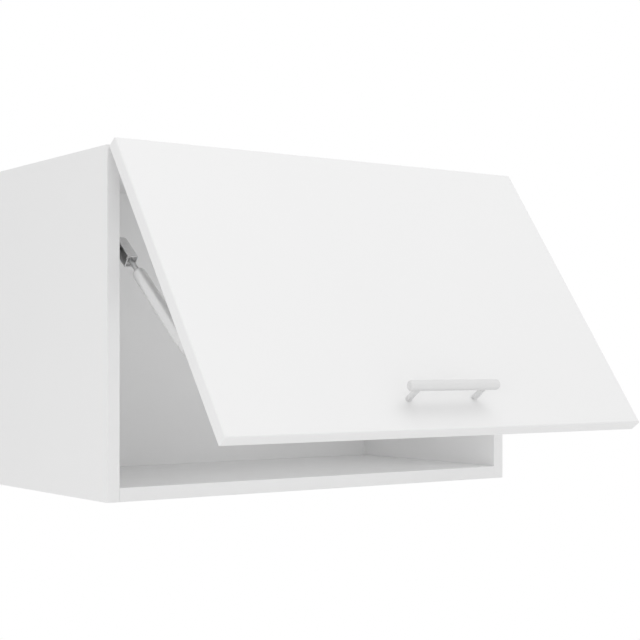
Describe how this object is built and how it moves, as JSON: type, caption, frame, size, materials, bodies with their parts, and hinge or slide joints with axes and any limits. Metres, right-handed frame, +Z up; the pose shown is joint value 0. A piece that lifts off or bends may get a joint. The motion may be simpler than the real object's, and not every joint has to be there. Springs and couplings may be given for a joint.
{
  "type": "kitchen wall cabinet",
  "caption": "Low kitchen wall cabinet with a white lift-up flap door on gas struts, a bar handle and wall hangers.",
  "frame": {"origin": "centre of the carcass's flat underside, half way between its sides and between its front edges and the wall", "axes": "+X to the right as seen from the front, +Y towards the wall, +Z up; the door is on the -Y side"},
  "size_m": [0.6, 0.5479, 0.4063],
  "materials": {
    "white_melamine": "white melamine-faced chipboard, fine matt grain",
    "white_edge_band": "white plastic edge band, satin",
    "white_hardboard": "white lacquered thin hardboard",
    "door_foil": "white foil-wrapped board, smooth matt",
    "zinc_hardware": "zinc-plated steel",
    "beech_dowel": "bare beech",
    "hanger_plastic": "white moulded plastic",
    "grey_steel": "grey zinc-plated pressed steel, satin",
    "nickel_steel": "nickel-plated pressed steel",
    "handle_satin": "satin anodised",
    "bumper_soft": "soft translucent white",
    "strut_lacquer": "silver-grey lacquer, satin",
    "black_seal": "black seal",
    "polished_rod": "polished"
  },
  "bodies": {
    "cabinet": {"left_side": "white_melamine", "right_side": "white_melamine", "top_panel": "white_melamine", "bottom_panel": "white_melamine", "back_panel": "white_hardboard", "left_edge_band": "white_edge_band", "right_edge_band": "white_edge_band", "top_edge_band": "white_edge_band", "bottom_edge_band": "white_edge_band", "cam_housings": "zinc_hardware", "cam_bolts": "zinc_hardware", "dowels": "beech_dowel", "left_hanger": "hanger_plastic", "right_hanger": "hanger_plastic", "left_hook": "grey_steel", "right_hook": "grey_steel", "hanger_adjusters": "zinc_hardware", "left_hinge_arm": "nickel_steel", "right_hinge_arm": "nickel_steel", "left_hinge_plate": "nickel_steel", "right_hinge_plate": "nickel_steel", "plate_screws": "zinc_hardware", "left_strut_bracket": "grey_steel", "right_strut_bracket": "grey_steel", "strut_bracket_screws": "zinc_hardware"},
    "door": {"door_panel": "door_foil", "door_bumpers": "bumper_soft", "handle_bar": "handle_satin", "left_handle_post": "handle_satin", "right_handle_post": "handle_satin", "handle_screws": "zinc_hardware", "left_hinge_cup": "nickel_steel", "right_hinge_cup": "nickel_steel", "cup_screws": "zinc_hardware", "left_foot_bracket": "grey_steel", "right_foot_bracket": "grey_steel", "foot_screws": "zinc_hardware"},
    "left_link": {"left_hinge_link": "nickel_steel"},
    "left_strut_rod": {"left_strut_rod": "polished_rod", "left_rod_end": "grey_steel"},
    "left_strut_tube": {"left_strut_tube": "strut_lacquer", "left_strut_gland": "black_seal", "left_strut_stud": "zinc_hardware", "left_strut_fitting": "grey_steel"},
    "right_link": {"right_hinge_link": "nickel_steel"},
    "right_strut_rod": {"right_strut_rod": "polished_rod", "right_rod_end": "grey_steel"},
    "right_strut_tube": {"right_strut_tube": "strut_lacquer", "right_strut_gland": "black_seal", "right_strut_stud": "zinc_hardware", "right_strut_fitting": "grey_steel"}
  },
  "joints": [
    {"name": "door_hinge", "type": "hinge", "parent": "cabinet", "child": "door", "pos_m": [0, -0.1515, 0.398], "axis": [-1, 0, 0], "range_deg": [-35.3, 34.7]},
    {"name": "left_hinge_link_swing", "type": "hinge", "parent": "cabinet", "child": "left_link", "pos_m": [-0.2, -0.1565, 0.3844], "axis": [-1, 0, 0], "range_deg": [-50.42, 49.58]},
    {"name": "left_strut_swing", "type": "hinge", "parent": "door", "child": "left_strut_rod", "pos_m": [-0.268, -0.3324, 0.12174], "axis": [-1, 0, 0], "range_deg": [-1.52, 1.5]},
    {"name": "left_strut_slide", "type": "slide", "parent": "left_strut_rod", "child": "left_strut_tube", "axis": [0, 0.779, 0.627], "range_m": [-0.0658, 0.0647]},
    {"name": "right_hinge_link_swing", "type": "hinge", "parent": "cabinet", "child": "right_link", "pos_m": [0.2, -0.1565, 0.3844], "axis": [-1, 0, 0], "range_deg": [-50.42, 49.58]},
    {"name": "right_strut_swing", "type": "hinge", "parent": "door", "child": "right_strut_rod", "pos_m": [0.268, -0.3324, 0.12174], "axis": [-1, 0, 0], "range_deg": [-1.52, 1.5]},
    {"name": "right_strut_slide", "type": "slide", "parent": "right_strut_rod", "child": "right_strut_tube", "axis": [0, 0.779, 0.627], "range_m": [-0.0658, 0.0647]}
  ],
  "couplings": [
    {"joint": "left_hinge_link_swing", "follows": "door_hinge", "ratio": 1.4},
    {"joint": "left_strut_swing", "follows": "door_hinge", "ratio": 0.0288},
    {"joint": "left_strut_slide", "follows": "door_hinge", "m_per_rad": 0.106},
    {"joint": "right_hinge_link_swing", "follows": "door_hinge", "ratio": 1.4},
    {"joint": "right_strut_swing", "follows": "door_hinge", "ratio": 0.0288},
    {"joint": "right_strut_slide", "follows": "door_hinge", "m_per_rad": 0.106}
  ]
}
